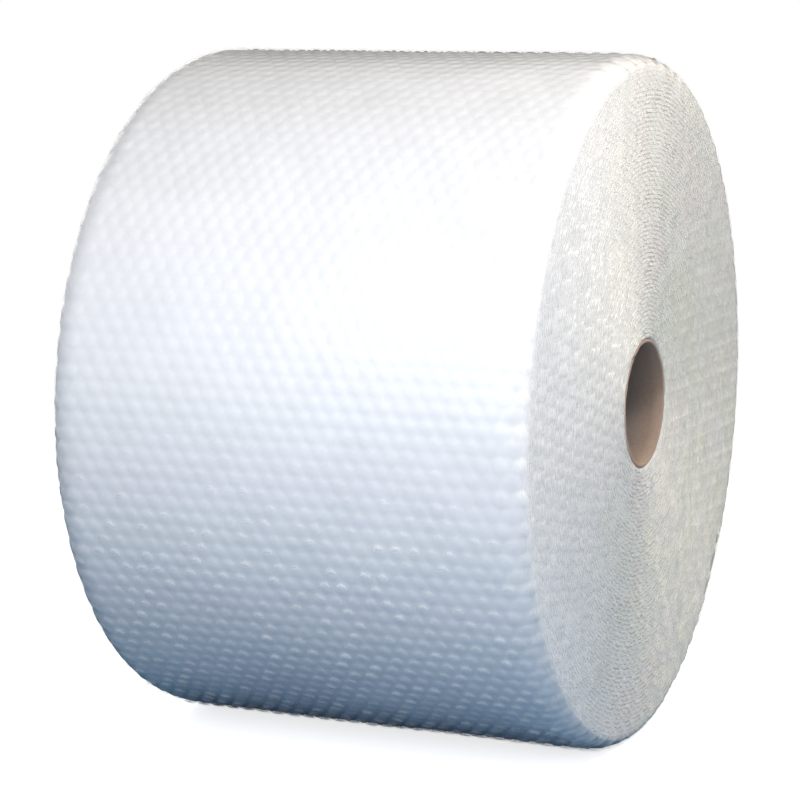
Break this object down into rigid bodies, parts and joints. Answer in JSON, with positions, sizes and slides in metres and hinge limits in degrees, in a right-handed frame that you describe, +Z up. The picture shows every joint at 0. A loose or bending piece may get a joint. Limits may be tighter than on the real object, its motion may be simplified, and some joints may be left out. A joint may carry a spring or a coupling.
{
  "type": "bubble wrap roll",
  "caption": "Roll of air bubble cushioning film on a cardboard core, lying on its side, with a round bore through the core.",
  "frame": {"origin": "middle of the small flat spot on which the roll lies, on the floor under the roll's centre", "axes": "+X along the roll's axis, +Z up, +Y towards the side on which the loose end lies"},
  "size_m": [0.305, 0.44, 0.4367],
  "materials": {
    "bubble_film": "clear glossy polyethylene film with air bubbles, milky where layers lie on each other",
    "core_board": "matt spiral-wound kraft board"
  },
  "bodies": {
    "root": {"bubble_wrap": "bubble_film", "cardboard_core": "core_board"}
  },
  "joints": []
}
